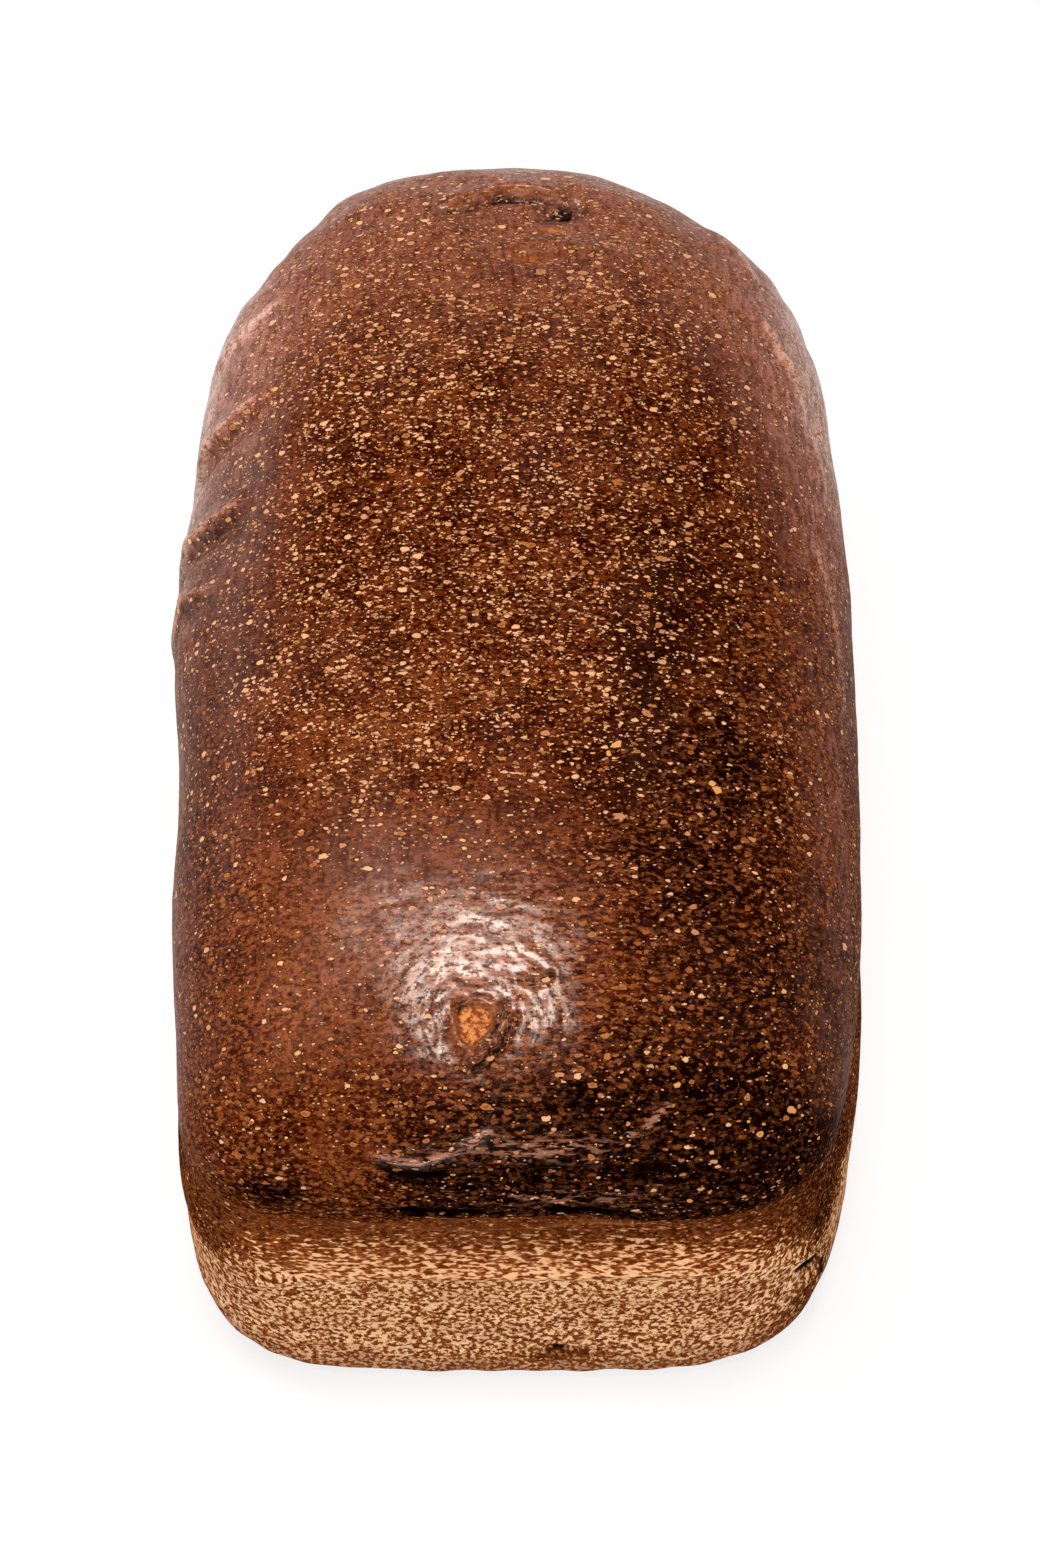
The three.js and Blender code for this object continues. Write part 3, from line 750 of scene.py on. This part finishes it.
    # The wall and the band above it: pale skin in a net of threads, or in level dashes, closing up downwards until
    # only brown gaps are left.
    threads = n.noise(n.stretch(place, 0.85, 0.8, 0.65), WALL_THREADS, 2.0, 0.55)
    dashes = n.noise(n.stretch(place, 0.45, 1.2, 1.2), SHREDS, 1.5)
    dashed = n.ramp(n.plus(band, n.times(clouds, 0.8)), 0.85, 0.95)
    weave = n.math("SUBTRACT", n.blend(dashed, threads, dashes), n.ramp(pale, 1.0, 0.0, 0.0, 0.25))
    on_wall = n.ramp(pale, 0.02, 0.25)
    covered = n.times(n.ramp(weave, 0.48, 0.56), on_wall)
    toasted = n.times(n.ramp(weave, 0.42, 0.50), on_wall)
    gap = n.mix(n.ramp(mottle, 0.4, 0.6, 0.0, 0.5), WALL_GAP, OCHRE_CRUST)
    gap = n.mix(n.math("MAXIMUM", n.ramp(pale, 0.35, 1.0), n.times(band, 0.45)), colour, gap)
    drifts = n.noise(n.stretch(place, 0.34, 1.0, 1.0), WALL_DRIFTS, 3.0)
    skin = n.mix(n.ramp(drifts, 0.35, 0.75, 0.0, 0.4), WALL_SKIN, OCHRE_CRUST)
    # Painted glints: fine pale dots of light on the wall's skin.
    skin = n.mix(n.ramp(n.noise(stretched, GRAININESS, 1.0), 0.52, 0.70, 0.0, 0.75), skin, WALL_GLINT)
    skin = n.mix(n.times(band, 0.5), skin, PALE_BRAN)
    colour = n.mix(covered, n.mix(toasted, gap, WALL_TOAST), skin)

    # The heel and the base.
    height = n.add("ShaderNodeSeparateXYZ", Vector=place).outputs["Z"]
    height = n.plus(height, n.times(n.noise(place, HEEL_STAINS), HEEL_WANDER * MM))
    stained = n.ramp(height, HEEL_STAIN[1] * MM, HEEL_STAIN[0] * MM)
    colour = n.mix(n.times(stained, 0.6), colour, BASE_SKIN)

    # Painted shade: crevices and pits are painted black to their bottoms.
    colour = n.mix(n.ramp(browning_and_shade, 1.0, 1.4), colour, SCORCH_AND_SHADE_BLACK)

    # Fine grain and wrinkles, too small for the skin's own cells. The wrinkles turn to rings round the blister.
    from_blister = n.vector("SUBTRACT", place, tuple(v * MM for v in BLISTER))
    flat = n.add("ShaderNodeSeparateXYZ", Vector=from_blister).outputs
    radius = n.vector("LENGTH", from_blister)
    turn = n.math("ARCTAN2", flat["Y"], flat["X"])
    ring_place = n.add("ShaderNodeCombineXYZ", X=n.times(radius, THREADS), Y=n.times(turn, RING_TURNS))
    level_lines = n.noise(n.stretch(place, 0.40, 1.0, 1.0), WRINKLES, 2.0, 0.6)
    ring_lines = n.noise(ring_place.outputs[0], 1.0, 2.0, 0.6)
    lines = n.blend(n.ramp(radius, RINGS_END[1] * MM, RINGS_END[0] * MM), level_lines, ring_lines)
    grain = n.noise(place, GRAININESS, 2.0, 0.6)
    relief = n.plus(
        n.times(lines, n.ramp(wrinkled, 0.0, 1.0, 0.35, 1.0)), n.times(grain, 0.4), n.times(mottle, 0.5),
        n.times(flakes[0], 0.10), n.times(covered, 0.4),
    )
    bump = n.add("ShaderNodeBump", Strength=BUMP_STRENGTH, Distance=BUMP_HEIGHT, Height=relief)

    # Rougher on bran, on bare crumb and on the walls. The glaze lies on the high spots of the grain.
    rough = n.plus(
        n.ramp(mottle, 0.3, 0.7, 0.24, 0.36), n.times(flakes[0], 0.12), n.times(n.math("MAXIMUM", pale, warm), 0.4)
    )
    sparkle = n.plus(n.times(lines, 0.7), n.times(mottle, 0.5), n.times(grain, 0.4))
    least_glaze = n.ramp(wrinkled, 0.3, 0.7, 0.6, 0.08)
    glaze = n.times(gloss, n.ramp(sparkle, 0.68, 0.86, least_glaze, 1.0))
    surface = n.add(
        "ShaderNodeBsdfPrincipled", Base_Color=colour, Roughness=rough, Normal=bump.outputs[0], Coat_Weight=glaze
    )
    surface.inputs["Specular IOR Level"].default_value = 0.0
    surface.inputs["Coat Roughness"].default_value = COAT_ROUGHNESS
    result = n.add("ShaderNodeOutputMaterial")
    n.put(result.inputs["Surface"], surface.outputs[0])
    return material


crust.data.materials.clear()
crust.data.materials.append(crust_material())
for face in crust.data.polygons:
    face.use_smooth = True
crust.name = crust.data.name = "crust"
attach(crust, "root")
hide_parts("loaf")

# ---- Floor and light ----
# A white light box: a bright floor, small soft boxes overhead, one at the left and one in front, and pale walls that
# are dark towards the top.

FLOOR_SIZE = 6.0
FLOOR_COLOUR = (0.20, 0.21, 0.22, 1)
FLOOR_ROUGHNESS = 0.9
FLOOR_SHINE = 0.1
FLOOR_GLOW = 0.8

floor_shape = bmesh.new()
bmesh.ops.create_grid(floor_shape, x_segments=1, y_segments=1, size=FLOOR_SIZE / 2)
floor = bpy.data.objects.new("floor", bpy.data.meshes.new("floor"))
floor_shape.to_mesh(floor.data)
floor_shape.free()
bpy.context.scene.collection.objects.link(floor)
white = bpy.data.materials.new("floor_white")
white.use_nodes = True
paint = white.node_tree.nodes["Principled BSDF"]
paint.inputs["Base Color"].default_value = FLOOR_COLOUR
paint.inputs["Roughness"].default_value = FLOOR_ROUGHNESS
paint.inputs["Specular IOR Level"].default_value = FLOOR_SHINE
paint.inputs["Emission Color"].default_value = (1, 1, 1, 1)
paint.inputs["Emission Strength"].default_value = FLOOR_GLOW
floor.data.materials.append(white)

LAMP_AIM = Vector((0, 0, 0.05))
for name, place, size, watts, colour in (
    ("overhead", (0.01, -0.05, 0.95), (0.18, 0.20), 7.4, (1, 0.83, 0.73)),
    ("second", (-0.18, 0.07, 0.95), (0.19, 0.19), 3.2, (1, 0.82, 0.72)),
    ("left", (-1.0, 0.7, 0.45), (0.6, 0.5), 5, (1, 0.78, 0.70)),
    ("front", (-0.1, -1.1, 0.5), (0.2, 0.1), 3.4, (1, 0.86, 0.77)),
):
    lamp = bpy.data.objects.new(name, bpy.data.lights.new(name, "AREA"))
    lamp.data.shape = "RECTANGLE"
    lamp.data.size, lamp.data.size_y = size
    lamp.data.energy = watts
    lamp.data.color = colour
    lamp.location = place
    lamp.rotation_euler = (LAMP_AIM - Vector(place)).to_track_quat("-Z", "Y").to_euler()
    bpy.context.scene.collection.objects.link(lamp)

LOW_WALL = (0.94, 0.78, 0.72, 1)
HIGH_WALL = (0.08, 0.07, 0.065, 1)
WALL_FADE = (0.05, 0.6)  # from the level, 0, to straight up, 1
world = bpy.data.worlds.new("light_box")
bpy.context.scene.world = world
world.use_nodes = True
sky = Nodes(world.node_tree)
direction = sky.add("ShaderNodeTexCoord").outputs["Generated"]
up = sky.add("ShaderNodeSeparateXYZ", Vector=direction).outputs["Z"]
background = world.node_tree.nodes["Background"]
sky.put(background.inputs["Color"], sky.mix(sky.ramp(up, *WALL_FADE), LOW_WALL, HIGH_WALL))
background.inputs["Strength"].default_value = 1.0

bpy.context.scene.view_settings.view_transform = "Standard"
